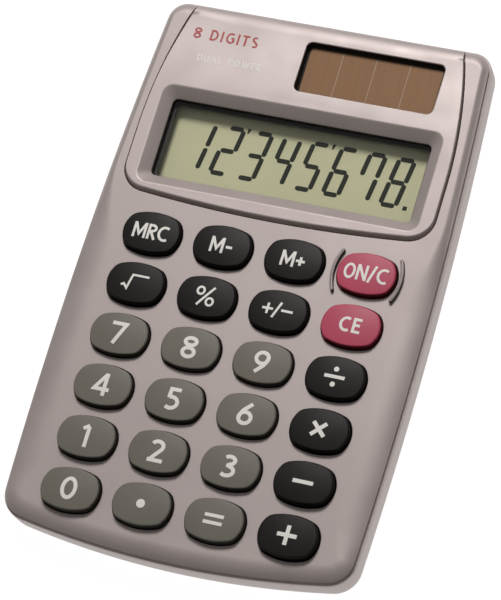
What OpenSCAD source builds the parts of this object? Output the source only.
// Pocket calculator with 24 sprung keys, an eight-digit display and a solar cell.
// The origin is the middle of the flat back. +Y points to the display end, +Z out of the keys.

/* [Case] */
// Length of the case, from the keypad end to the display end
case_l = 110.4; // [109.6:0.2:113]
// Width of the case at its widest place
case_w = 71; // [70.2:0.2:74]
// Height of the keypad face above the back
face_z = 8.2; // [8.2:0.1:8.4]
// Height of the joint between the front cover and the rear cover
seam_z = 7; // [6.9:0.1:7.2]
// Wall of the rear cover
wall = 1.9; // [1.6:0.1:1.9]
// Thickness of the rear cover's floor
floor_t = 1.2; // [1:0.1:1.2]

/* [Keys] */
// Distance between key columns
key_pitch_x = 14.4; // [14.3:0.05:14.5]
// Distance between key rows
key_pitch_y = 10.45; // [10.35:0.05:10.5]
// Width of a key cap
key_w = 11.7; // [11.2:0.1:11.8]
// Height of a key cap, seen from the front
key_h = 8.3; // [7.8:0.1:8.3]
// Height of the middle of a key cap above the keypad face
key_proud = 1.6; // [1.3:0.1:1.7]
// Gap between a key cap and its hole
key_gap = 0.25; // [0.15:0.05:0.3]
// How far a key travels
key_travel = 0.9; // [0.5:0.1:0.9]

/* [Display] */
// Height of the display panel above the keypad face
panel_step = 0.7; // [0.5:0.1:0.8]
// Width of the display's opening
view_w = 52.4; // [48:0.2:52.6]
// Height of the display's opening, seen from the front
view_h = 16; // [14:0.1:16.1]
// Plan width of the sloped border around the display
bevel_w = 2.2; // [1.8:0.1:2.4]
// Depth of the sloped border
bevel_d = 1.65; // [0.8:0.05:1.65]
// Width of the solar cell's window
solar_w = 27.9; // [26:0.1:28]
// Height of the solar cell's window, seen from the front
solar_h = 10.5; // [9.5:0.1:10.6]

/* [Hidden] */
$fn = 48;
fit = 0.05;               // gap between parts that rest on each other
KEY_BLACK = "#1e1c19";
KEY_GREY = "#69675f";
KEY_RED = "#b44b5f";
SILVER = "#afa5a0";
KEYS = [ // name, column, row, colour
    ["key_mrc", 0, 0, KEY_BLACK], ["key_m_minus", 1, 0, KEY_BLACK],
    ["key_m_plus", 2, 0, KEY_BLACK], ["key_on_c", 3, 0, KEY_RED],
    ["key_root", 0, 1, KEY_BLACK], ["key_percent", 1, 1, KEY_BLACK],
    ["key_sign", 2, 1, KEY_BLACK], ["key_ce", 3, 1, KEY_RED],
    ["key_7", 0, 2, KEY_GREY], ["key_8", 1, 2, KEY_GREY],
    ["key_9", 2, 2, KEY_GREY], ["key_divide", 3, 2, KEY_BLACK],
    ["key_4", 0, 3, KEY_GREY], ["key_5", 1, 3, KEY_GREY],
    ["key_6", 2, 3, KEY_GREY], ["key_multiply", 3, 3, KEY_BLACK],
    ["key_1", 0, 4, KEY_GREY], ["key_2", 1, 4, KEY_GREY],
    ["key_3", 2, 4, KEY_GREY], ["key_minus", 3, 4, KEY_BLACK],
    ["key_0", 0, 5, KEY_GREY], ["key_point", 1, 5, KEY_GREY],
    ["key_equals", 2, 5, KEY_GREY], ["key_plus", 3, 5, KEY_BLACK],
];

// Outline of the case
side_r = 920;             // radius of the bowed long sides
widest_y = -16.5;         // where the case is widest
end_r = 176;              // radius of the bowed keypad end
top_corner_r = 4;
bottom_corner_r = 5.5;
side_cx = case_w / 2 - side_r;
end_cy = -case_l / 2 + end_r;

// Crown, where the front cover's face rolls down to the seam
crown_w = 4.4;            // plan width of the roll
rim_in = 0.4;             // how far the cover's rim stands in from the rear cover's
crown_steps = 6;
slab = 0.01;              // thickness of the slabs that a crown is hulled from
seam_gap = 0.35;          // shadow line between the covers
seam_depth = 0.8;
rim_round = 0.15;         // softened outer edge of the rear cover's rim

// Inside of the covers
ceiling_z = face_z - 1.5; // underside of the front cover
tongue_t = 0.9;           // rib of the front cover that locates inside the rear wall
tongue_h = 1.7;
board_top = floor_t + 2;
board_t = 1.2;

// Keypad
keypad_cy = -19.5;
flange_over = 0.7;        // how far a key's flange reaches past its cap
flange_t = 0.75;
stem_r = 1.5;
key_corner = 2.5;
key_bow_x = 0.35;         // how far a key's short sides bow outwards
key_bow_y = 0.5;          // how far its long sides bow outwards
cap_crown_r = 45;         // radius of the top of a key cap
sheet_t = 0.5;            // silicone sheet between the domes
dome_roof_t = 0.4;
dome_pill_t = 0.3;        // carbon pill that closes the key's contact
dome_top = board_top + key_travel + dome_roof_t + dome_pill_t + 0.2;

// Display panel and its openings
pocket_z = face_z - 0.8;  // floor of the pocket that the panel lies in
panel_z = face_z + panel_step;
panel_gap = 0.15;
wrap_y = case_l / 2 - 1.6; // from here on, the panel wraps down over the display end
view_cy = 26.85;
view_corner = 1;
lip_z = ceiling_z + fit;
pane_t = 1;
solar_cx = 10.75;
solar_cy = 45.55;
solar_front_z = panel_z - 1.9;
solar_t = 1.1;

// Display module, from the board up
frame_top = 5.7;
frame_w = 58;
frame_h = 23;
lcd_cy = 26.1;
lcd_w = 55.4;
lcd_h = 20.4;
lcd_ledge = 2.4;          // strip of the front glass that carries the contacts
film_t = 0.15;
glass_t = 0.7;
lcd_top = 5.1;

// Screws
case_screw_xy = [[28.4, 49], [30.2, -46]];
board_screw_xy = [[-14.4, 1.4], [14.4, 1.4], [0, -19.5], [-14.4, -40.4], [14.4, -40.4]];
case_boss_r = 1.9;
board_boss_r = 1.5;
case_shank_r = 0.85;
board_shank_r = 0.65;
screw_play = 0.03;        // radial clearance of a screw in its boss

cell_xy = [-18.4, 45.4];
cell_r = 5.8;
cell_t = 3.05;
contact_t = 0.2;

function arc(cx, cy, r, from, to, steps) =
    [for (i = [0:steps]) let (a = from + (to - from) * i / steps) [cx + r * cos(a), cy + r * sin(a)]];
function mirrored(half) = concat(half, [for (i = [len(half) - 1:-1:0]) [-half[i][0], half[i][1]]]);

// Right half of the case's outline, moved in by inset, from the keypad end to the display end
function case_half(inset) =
    let (
        rt = top_corner_r - min(inset, top_corner_r - 0.6),
        rb = bottom_corner_r - min(inset, bottom_corner_r - 0.6),
        rs = side_r - inset,
        re = end_r - inset,
        top_a = asin((case_l / 2 - inset - rt - widest_y) / (rs - rt)),
        // The bottom corner's centre lies where the moved-in side and end arcs meet
        d = norm([side_cx, widest_y - end_cy]),
        to_end = atan2(end_cy - widest_y, -side_cx),
        side_to_corner = acos((pow(rs - rb, 2) + d * d - pow(re - rb, 2)) / (2 * (rs - rb) * d)),
        bottom_a = to_end - side_to_corner,
        cx = side_cx + (rs - rb) * cos(bottom_a),
        cy = widest_y + (rs - rb) * sin(bottom_a),
        end_a = atan2(cy - end_cy, cx))
    concat(
        arc(0, end_cy, re, -90, end_a, 8),
        arc(cx, cy, rb, end_a, bottom_a, 8),
        arc(side_cx, widest_y, rs, bottom_a, top_a, 14),
        arc(side_cx + (rs - rt) * cos(top_a), case_l / 2 - inset - rt, rt, top_a, 90, 8));
module case_outline(inset) { polygon(mirrored(case_half(inset))); }
module case_slab(inset, z, h) { translate([0, 0, z]) linear_extrude(h) case_outline(inset); }

// A solid whose face rolls down to the seam at its rim
module crowned(top_z) {
    hull()
        for (i = [0:crown_steps])
            let (a = 90 * i / crown_steps)
                case_slab(rim_in + crown_w * (1 - cos(a)),
                          seam_z + (top_z - seam_z - slab) * sin(a), slab);
}

// Rounded oblong whose four sides bow outwards, its right half from bottom to top
function bowed_half(w, h, corner, bow_x, bow_y) =
    let (
        x = w / 2 - corner - bow_x,
        y = h / 2 - corner - bow_y,
        ax = 2 * atan2(bow_y, x),
        ay = 2 * atan2(bow_x, y),
        rx = x / sin(ax) + corner,
        ry = y / sin(ay) + corner)
    concat(
        arc(0, rx - h / 2, rx, -90, ax - 90, 2),
        arc(x, -y, corner, ax - 90, -ay, 5),
        arc(w / 2 - ry, 0, ry, -ay, ay, 3),
        arc(x, y, corner, ay, 90 - ax, 5),
        arc(0, h / 2 - rx, rx, 90 - ax, 90, 2));
module key_outline(grow) {
    polygon(mirrored(bowed_half(key_w + 2 * grow, key_h + 2 * grow, key_corner + grow,
                             key_bow_x, key_bow_y)));
}
module round_rect(w, h, r) {
    polygon(concat(
        arc(w / 2 - r, h / 2 - r, r, 0, 90, 6), arc(r - w / 2, h / 2 - r, r, 90, 180, 6),
        arc(r - w / 2, r - h / 2, r, 180, 270, 6), arc(w / 2 - r, r - h / 2, r, 270, 360, 6)));
}
module box(x0, x1, y0, y1, z0, z1) { translate([x0, y0, z0]) cube([x1 - x0, y1 - y0, z1 - z0]); }
module rod(x, y, z0, z1, r) { translate([x, y, z0]) cylinder(r = r, h = z1 - z0); }
module at_case_screws() { for (p = case_screw_xy, s = [-1, 1]) translate([s * p[0], p[1]]) children(); }
module at_board_screws() { for (p = board_screw_xy) translate(p) children(); }
function key_xy(k) = [(k[1] - 1.5) * key_pitch_x, keypad_cy + (2.5 - k[2]) * key_pitch_y];
module at_keys() { for (k = KEYS) translate(key_xy(k)) children(); }

// Outline of the display panel, grown by grow: bowed sides, round lower corners, sagging lower edge
module panel_outline(grow) {
    half_w = 31.25 + grow;
    side = 92.6 + grow;
    corner = 5 + grow;
    bottom = 276 + grow;
    bottom_cy = 13.7 + 276;
    bow_from = 27.3;
    corner_cx = half_w - corner;
    corner_cy = bottom_cy - sqrt(pow(bottom - corner, 2) - pow(corner_cx, 2));
    corner_a = atan2(corner_cy - bottom_cy, corner_cx);
    reach = asin((case_l / 2 + 1 - bow_from) / side);
    polygon(mirrored(concat(
        arc(0, bottom_cy, bottom, -90, corner_a, 8),
        arc(corner_cx, corner_cy, corner, corner_a, 0, 8),
        arc(half_w - side, bow_from, side, 0, reach, 12))));
}
// The same outline beyond y, at the display end
module panel_end(grow, y) {
    intersection() {
        panel_outline(grow);
        translate([-case_w / 2, y]) square([case_w, case_l / 2]);
    }
}
module panel_pegs(r, z0, z1) {
    for (s = [-1, 1], y = [19, 36]) rod(s * 29.7, y, z0, z1, r);
}

// Crescent guard beside the ON key
module guard_rib() {
    rib_r = 9.8;
    rib_mid = 7;
    rib_t = 0.65;
    linear_extrude(face_z + 0.9 - ceiling_z)
        translate([rib_mid - rib_r, 0])
            polygon(concat(arc(0, 0, rib_r, -25, 25, 10), arc(0, 0, rib_r - rib_t, 25, -25, 10)));
}

module front_cover() {
    color(SILVER) {
        difference() {
            union() {
                crowned(face_z);
                case_slab(wall + fit, ceiling_z, seam_z - ceiling_z + fit);
            }
            at_keys() translate([0, 0, ceiling_z - 1]) linear_extrude(4) key_outline(key_gap);
            translate([0, 0, pocket_z]) linear_extrude(4) panel_outline(panel_gap);
            translate([0, 0, seam_z - 1]) linear_extrude(4) panel_end(panel_gap, wrap_y - panel_gap);
            translate([0, view_cy, ceiling_z - 1])
                linear_extrude(4) round_rect(view_w + 3.4, view_h + 3.4, view_corner);
            translate([solar_cx, solar_cy, ceiling_z - 1])
                linear_extrude(4) round_rect(solar_w + 3.4, solar_h + 3.4, view_corner);
            panel_pegs(0.85, ceiling_z - 1, face_z);
        }
        difference() {
            case_slab(wall + fit, ceiling_z - tongue_h, tongue_h);
            case_slab(wall + fit + tongue_t, ceiling_z - tongue_h - 1, tongue_h + 1);
            at_case_screws() rod(0, 0, ceiling_z - tongue_h - 1, ceiling_z, case_boss_r - 0.1);
        }
        difference() {
            union() {
                at_case_screws() rod(0, 0, 2.8, ceiling_z, case_boss_r);
                at_board_screws() rod(0, 0, board_top, ceiling_z, board_boss_r);
            }
            at_case_screws() rod(0, 0, 2, ceiling_z - 0.4, case_shank_r + screw_play);
            at_board_screws() rod(0, 0, 2, ceiling_z - 0.4, board_shank_r + screw_play);
        }
        for (s = [-1, 1])
            translate([key_xy(KEYS[3])[0], key_xy(KEYS[3])[1], ceiling_z])
                mirror([s < 0 ? 1 : 0, 0, 0]) guard_rib();
    }
}

module display_panel() {
    lip_w = 0.75;
    color("#c8beb8") difference() {
        union() {
            intersection() {
                crowned(panel_z);
                union() {
                    translate([0, 0, pocket_z]) linear_extrude(4) panel_outline(0);
                    translate([0, 0, seam_z]) linear_extrude(4) panel_end(0, wrap_y);
                }
            }
            translate([0, view_cy, lip_z])
                linear_extrude(pocket_z - lip_z)
                    round_rect(view_w + 2 * lip_w, view_h + 2 * lip_w, view_corner + lip_w);
            translate([solar_cx, solar_cy, solar_front_z])
                linear_extrude(pocket_z - solar_front_z)
                    round_rect(solar_w + 2 * lip_w, solar_h + 2 * lip_w, view_corner + lip_w);
            panel_pegs(0.8, ceiling_z - 0.4, pocket_z);
        }
        translate([0, view_cy, 0]) {
            linear_extrude(20) round_rect(view_w, view_h, view_corner);
            hull() {
                translate([0, 0, panel_z - bevel_d])
                    linear_extrude(slab) round_rect(view_w, view_h, view_corner);
                translate([0, 0, panel_z])
                    linear_extrude(1)
                        round_rect(view_w + 2 * bevel_w, view_h + 2 * bevel_w, view_corner + 1);
            }
        }
        translate([solar_cx, solar_cy, 0]) linear_extrude(20) round_rect(solar_w, solar_h, 1.2);
    }
}

module rear_cover() {
    foot_in = [1.5, 0.8, 0.4, 0.15];
    foot_z = [0, 0.25, 0.7, 1.5];
    post_r = 2.8;
    head_r = 2.05;
    color(SILVER) {
        difference() {
            union() {
                hull() {
                    for (i = [0:len(foot_z) - 1]) case_slab(foot_in[i], foot_z[i], slab);
                    case_slab(0, seam_z - seam_gap - rim_round, slab);
                    case_slab(rim_round, seam_z - seam_gap - slab, slab);
                }
                case_slab(seam_depth, seam_z - 1, 1 - fit);
            }
            case_slab(wall, floor_t, seam_z);
            at_case_screws() rod(0, 0, -1, 1.4, head_r);
            at_case_screws() rod(0, 0, -1, floor_t + 2, case_shank_r + 0.2);
        }
        difference() {
            intersection() {
                at_case_screws() rod(0, 0, floor_t, 2.7, post_r);
                case_slab(wall, 0, seam_z);
            }
            at_case_screws() rod(0, 0, 0, 1.4, head_r);
            at_case_screws() rod(0, 0, 0, 3, case_shank_r + 0.2);
        }
        // Pillars that hold up the board
        for (x = [-24, 24], y = [-32, 0, 30]) rod(x, y, floor_t, board_top - board_t - fit, 1.4);
    }
}

module display_window() {
    color("#dfe6e4", 0.35)
        translate([0, view_cy, lip_z - fit - pane_t])
            linear_extrude(pane_t) round_rect(view_w + 2.6, view_h + 2.6, view_corner);
}

module lcd_frame() {
    play = 0.15;
    color("#161514")
        translate([0, lcd_cy, 0])
            difference() {
                translate([0, 0, board_top + fit])
                    linear_extrude(frame_top - board_top - fit) round_rect(frame_w, frame_h, 1.2);
                translate([0, 0, board_top])
                    linear_extrude(lcd_top + fit - board_top)
                        round_rect(lcd_w + 2 * play, lcd_h + 2 * play, 0.3);
                translate([0, view_cy - lcd_cy, 0])
                    linear_extrude(10) round_rect(view_w - 1, view_h - 1, 0.6);
            }
}
module lcd_layer(w, y0, y1, z, t) {
    translate([-w / 2, lcd_cy + y0, z]) cube([w, y1 - y0, t]);
}
module lcd_front_polariser() {
    color("#b8b496", 0.5)
        lcd_layer(lcd_w - 1, lcd_ledge - lcd_h / 2, lcd_h / 2 - 0.5, lcd_top - film_t, film_t);
}
module lcd_front_glass() {
    color("#c8cfc4", 0.4) lcd_layer(lcd_w, -lcd_h / 2, lcd_h / 2, lcd_top - film_t - glass_t, glass_t);
}
module lcd_rear_glass() {
    color("#c8cfc4", 0.4)
        lcd_layer(lcd_w, lcd_ledge - lcd_h / 2, lcd_h / 2, lcd_top - film_t - 2 * glass_t, glass_t);
}
module lcd_reflector() {
    color("#b8b496")
        lcd_layer(lcd_w - 1, lcd_ledge - lcd_h / 2 + 0.3, lcd_h / 2 - 0.5,
                  lcd_top - 2 * film_t - 2 * glass_t, film_t);
}
// Elastomer strip that joins the glass's contacts to the board
module zebra_strip() {
    color("#d8a0a8")
        lcd_layer(lcd_w - 6, 0.3 - lcd_h / 2, lcd_ledge - 0.3 - lcd_h / 2,
                  board_top, lcd_top - film_t - glass_t - board_top);
}

module solar_cell() {
    color("#8c6c50")
        translate([solar_cx, solar_cy, solar_front_z - fit - solar_t])
            linear_extrude(solar_t) round_rect(solar_w + 1.5, solar_h + 1.5, 0.3);
}
module solar_foam() {
    foam_w = 7;
    color("#3c3c3e")
        for (x = [solar_cx - 9.5, solar_cx + 9.5 - foam_w / 2])
            box(x - foam_w / 2, x + foam_w / 2, solar_cy - 0.4, solar_cy + 5,
                board_top + fit, solar_front_z - 2 * fit - solar_t);
}
// Wire from a pad under the solar cell, along it, and down to the board
module solar_wire(y) {
    wire_r = 0.3;
    bend = 0.9;
    run = 3;
    z = solar_front_z - 2 * fit - solar_t - wire_r;
    translate([solar_cx - 3, y, 0]) {
        translate([0, 0, z]) rotate([0, 90, 0]) cylinder(r = wire_r, h = run);
        translate([run, 0, z - bend]) rotate([90, 0, 0])
            rotate_extrude(angle = 90) translate([bend, 0]) circle(wire_r);
        rod(run + bend, 0, board_top + fit, z - bend, wire_r);
    }
}
module solar_wire_red() { color("#b02a22") solar_wire(42); }
module solar_wire_black() { color("#1c1c1c") solar_wire(40.4); }

module dome_sheet() {
    dome_r = 3.3;
    roof_r = 1.9;
    skin = 0.35;
    top = dome_top - board_top;
    color("#9aa0a2") {
        difference() {
            box(-26.6, 26.6, -49, 11.6, board_top, board_top + sheet_t);
            at_keys() rod(0, 0, 0, 10, dome_r);
            at_board_screws() rod(0, 0, 0, 10, board_boss_r + 0.2);
        }
        at_keys() translate([0, 0, board_top])
            rotate_extrude()
                polygon([[dome_r, 0], [dome_r, sheet_t], [roof_r, top], [0, top], [0, top - dome_roof_t],
                         [roof_r - skin, top - dome_roof_t], [dome_r - skin, 0]]);
        // Carbon pill under the roof of each dome
        at_keys()
            rod(0, 0, dome_top - dome_roof_t - dome_pill_t, dome_top - dome_roof_t, 1.2);
    }
}

module circuit_board() {
    color("#3f6b3a")
        difference() {
            union() {
                box(-27.2, 27.2, -49.2, 38, board_top - board_t, board_top);
                box(-25.4, 25.4, 37, 51.6, board_top - board_t, board_top);
            }
            at_board_screws() rod(0, 0, 0, 10, board_shank_r + 0.15);
            box(0.4, 9.4, 38.8, 43.6, 0, 10);
        }
}
module chip_blob() {
    blob_r = 3.1;
    color("#141414")
        intersection() {
            translate([-7.9, 46, board_top - 3.2]) sphere(r = 4.5);
            rod(-7.9, 46, board_top, board_top + 1.4, blob_r);
        }
}
// Electrolytic capacitor lying in a cut-out of the board
module storage_capacitor() {
    can_r = 2;
    can_l = 6.2;
    can_z = 3.4;
    lead_r = 0.22;
    color("#22324c")
        translate([1, 41.2, can_z]) rotate([0, 90, 0]) {
            difference() {
                cylinder(r = can_r, h = can_l);
                translate([0, 0, 4.9]) difference() {
                    cylinder(r = can_r + 1, h = 0.5);
                    cylinder(r = can_r - 0.25, h = 0.5);
                }
            }
            for (s = [-1, 1]) translate([0, s, can_l]) cylinder(r = lead_r, h = 1.5);
        }
}
module chip_components() {
    color("#c8b48c")
        for (p = [[-24, 40.2], [-11.4, 39.6], [-6.4, 40.4], [-3.6, 40.4]])
            box(p[0] - 0.6, p[0] + 0.6, p[1] - 1, p[1] + 1, board_top, board_top + 0.55);
}

module button_cell() {
    z = board_top + contact_t + fit;
    color("#c9cacc")
        translate([cell_xy[0], cell_xy[1], z]) {
            cylinder(r = cell_r - 1.2, h = 0.5);
            translate([0, 0, 0.35]) cylinder(r = cell_r, h = cell_t - 0.35);
        }
}
module cell_contact_minus() {
    color("#d0c9a8")
        box(cell_xy[0] - 2, cell_xy[0] + 2, cell_xy[1] - 4, cell_xy[1] + 4,
            board_top, board_top + contact_t);
}
module cell_contact_plus() {
    x = cell_xy[0] + cell_r + fit;
    color("#d0c9a8") {
        box(x, x + contact_t, cell_xy[1] - 2.5, cell_xy[1] + 2.5, board_top, board_top + 2.9);
        box(x, x + 1.2, cell_xy[1] - 2.5, cell_xy[1] + 2.5, board_top, board_top + contact_t);
    }
}

// Screw with a cross recess, head down, its shank reaching up from z
module screw(head_r, head_h, shank_r, shank_l) {
    slot = 0.5;
    difference() {
        translate([0, 0, -head_h]) cylinder(r = head_r, h = head_h);
        for (a = [0, 90])
            rotate([0, 0, a])
                translate([-head_r * 0.6, -slot / 2, -head_h - 1]) cube([head_r * 1.2, slot, 1.5]);
    }
    cylinder(r = shank_r, h = shank_l);
}
module board_screws() {
    color("#b9b9b4")
        at_board_screws() translate([0, 0, board_top - board_t - fit]) screw(1.2, 0.6, board_shank_r, 3.8);
}
module case_screws() {
    color("#4a4a4c")
        at_case_screws() translate([0, 0, 1.4 - fit]) screw(1.8, 1.0, case_shank_r, 4);
}

module key_cap(k) {
    top_z = face_z + key_proud;
    rim_z = ceiling_z - fit;
    hollow_z = face_z - 0.2;
    color(k[3])
        translate([key_xy(k)[0], key_xy(k)[1], 0]) {
            difference() {
                union() {
                    intersection() {
                        translate([0, 0, rim_z - flange_t]) linear_extrude(5) key_outline(0);
                        translate([0, 0, top_z - cap_crown_r]) sphere(r = cap_crown_r, $fn = 300);
                    }
                    translate([0, 0, rim_z - flange_t])
                        linear_extrude(flange_t) key_outline(flange_over);
                }
                linear_extrude(hollow_z) round_rect(key_w - 3, key_h - 3, 1.5);
            }
            rod(0, 0, dome_top + fit, hollow_z + 0.1, stem_r);
        }
}

front_cover();
display_panel();
rear_cover();
display_window();
lcd_frame();
lcd_front_polariser();
lcd_front_glass();
lcd_rear_glass();
lcd_reflector();
zebra_strip();
solar_cell();
solar_foam();
solar_wire_red();
solar_wire_black();
dome_sheet();
circuit_board();
chip_blob();
storage_capacitor();
chip_components();
button_cell();
cell_contact_plus();
cell_contact_minus();
board_screws();
case_screws();
for (k = KEYS) key_cap(k);
